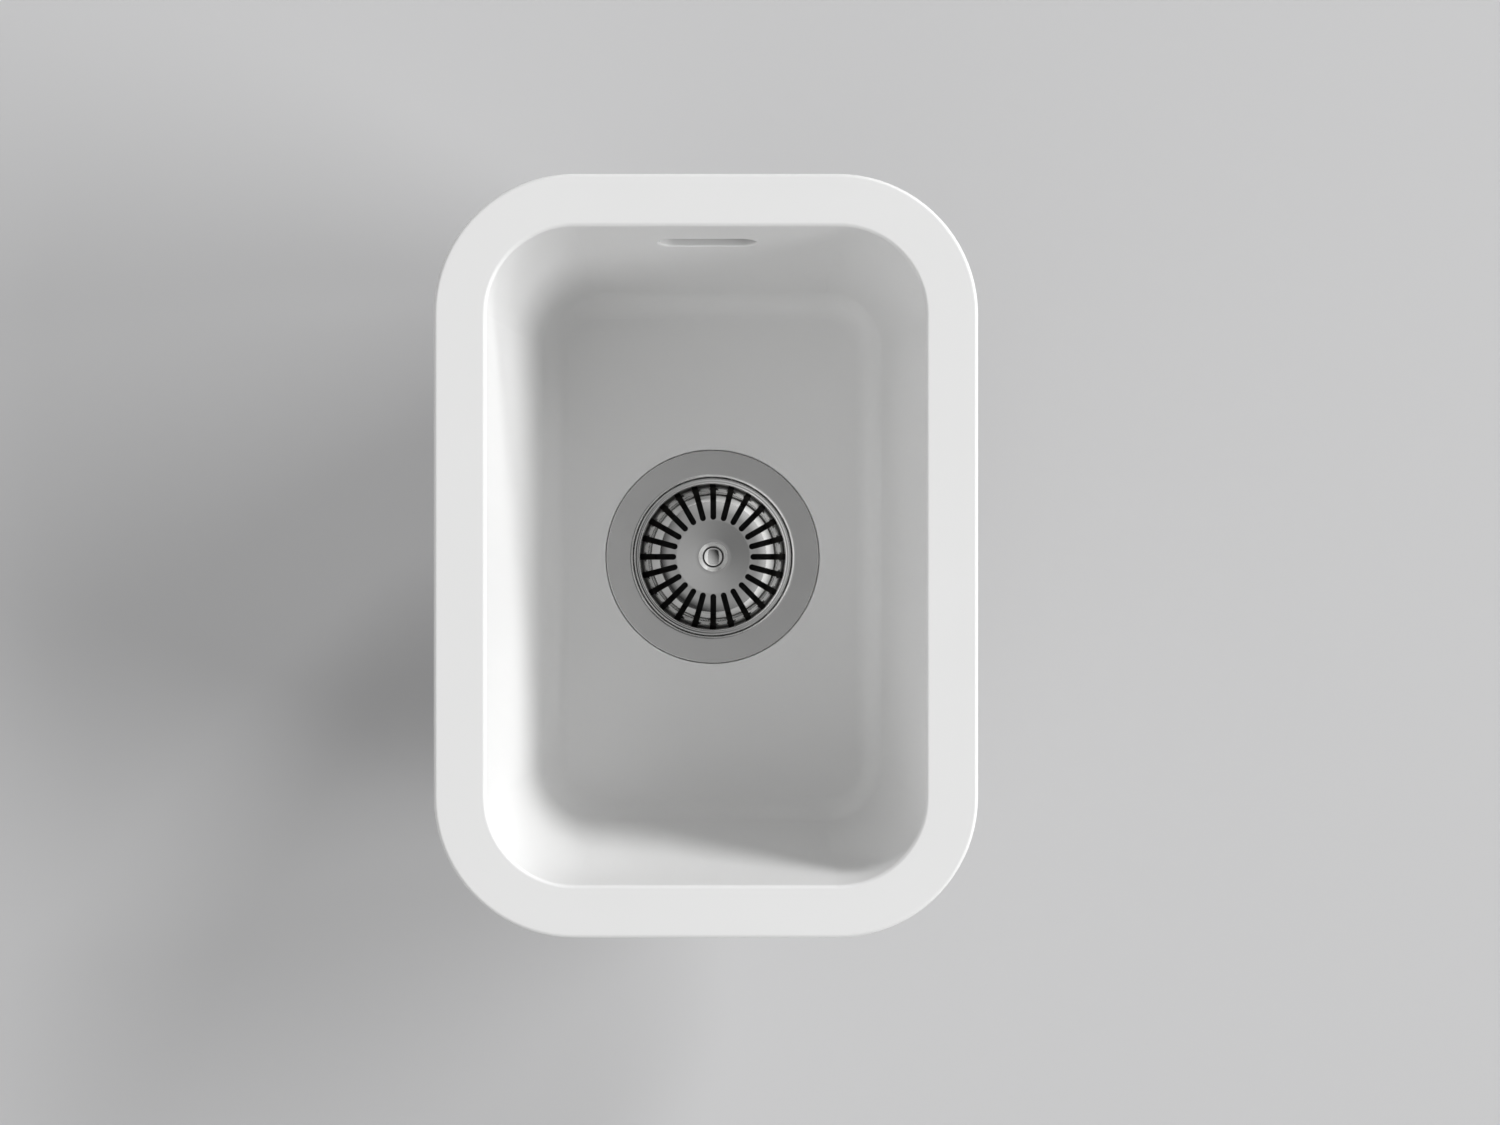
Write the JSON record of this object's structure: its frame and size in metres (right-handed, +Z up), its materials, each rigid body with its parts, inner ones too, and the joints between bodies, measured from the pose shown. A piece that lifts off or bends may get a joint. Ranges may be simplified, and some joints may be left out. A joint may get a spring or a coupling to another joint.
{
  "type": "undermount kitchen sink",
  "caption": "Small rectangular undermount sink bowl with a wide flat rim, a back-wall overflow and a lift-out basket strainer waste.",
  "frame": {"origin": "centre of the bowl's opening in the rim's top plane, which meets the underside of the worktop", "axes": "+X to the right, +Y to the back, where the overflow is, +Z up out of the bowl"},
  "size_m": [0.248, 0.359, 0.24],
  "materials": {
    "composite": "satin white cast mineral composite",
    "stainless": "satin stainless steel",
    "rubber": "matt black rubber",
    "waste_plastic": "moulded black polypropylene",
    "hose_plastic": "blown grey polyethylene",
    "brass": "turned brass"
  },
  "bodies": {
    "sink": {"basin": "composite", "flange_cup": "stainless", "flange_seal": "rubber", "clamp_screw": "stainless", "clamp_washer": "stainless", "waste_gasket": "rubber", "waste_body": "waste_plastic", "hub_insert": "brass", "overflow_gasket": "rubber", "overflow_housing": "waste_plastic", "housing_screws": "stainless", "wall_inserts": "brass", "overflow_hose": "hose_plastic", "hose_nut_upper": "waste_plastic", "hose_nut_lower": "waste_plastic", "hose_seal_upper": "rubber", "hose_seal_lower": "rubber"},
    "plug": {"stem": "stainless", "catch_ring": "stainless", "plug_carrier": "waste_plastic", "plug_seal": "rubber", "plug_nut": "waste_plastic"},
    "strainer": {"basket": "stainless", "hub_ring": "stainless"}
  },
  "joints": [
    {"name": "strainer_lift", "type": "slide", "parent": "sink", "child": "plug", "axis": [0, 0, 1], "range_m": [0, 0.2]},
    {"name": "basket_turn", "type": "hinge", "parent": "plug", "child": "strainer", "pos_m": [0, 0, -0.1699], "axis": [0, 0, 1], "continuous": true}
  ]
}
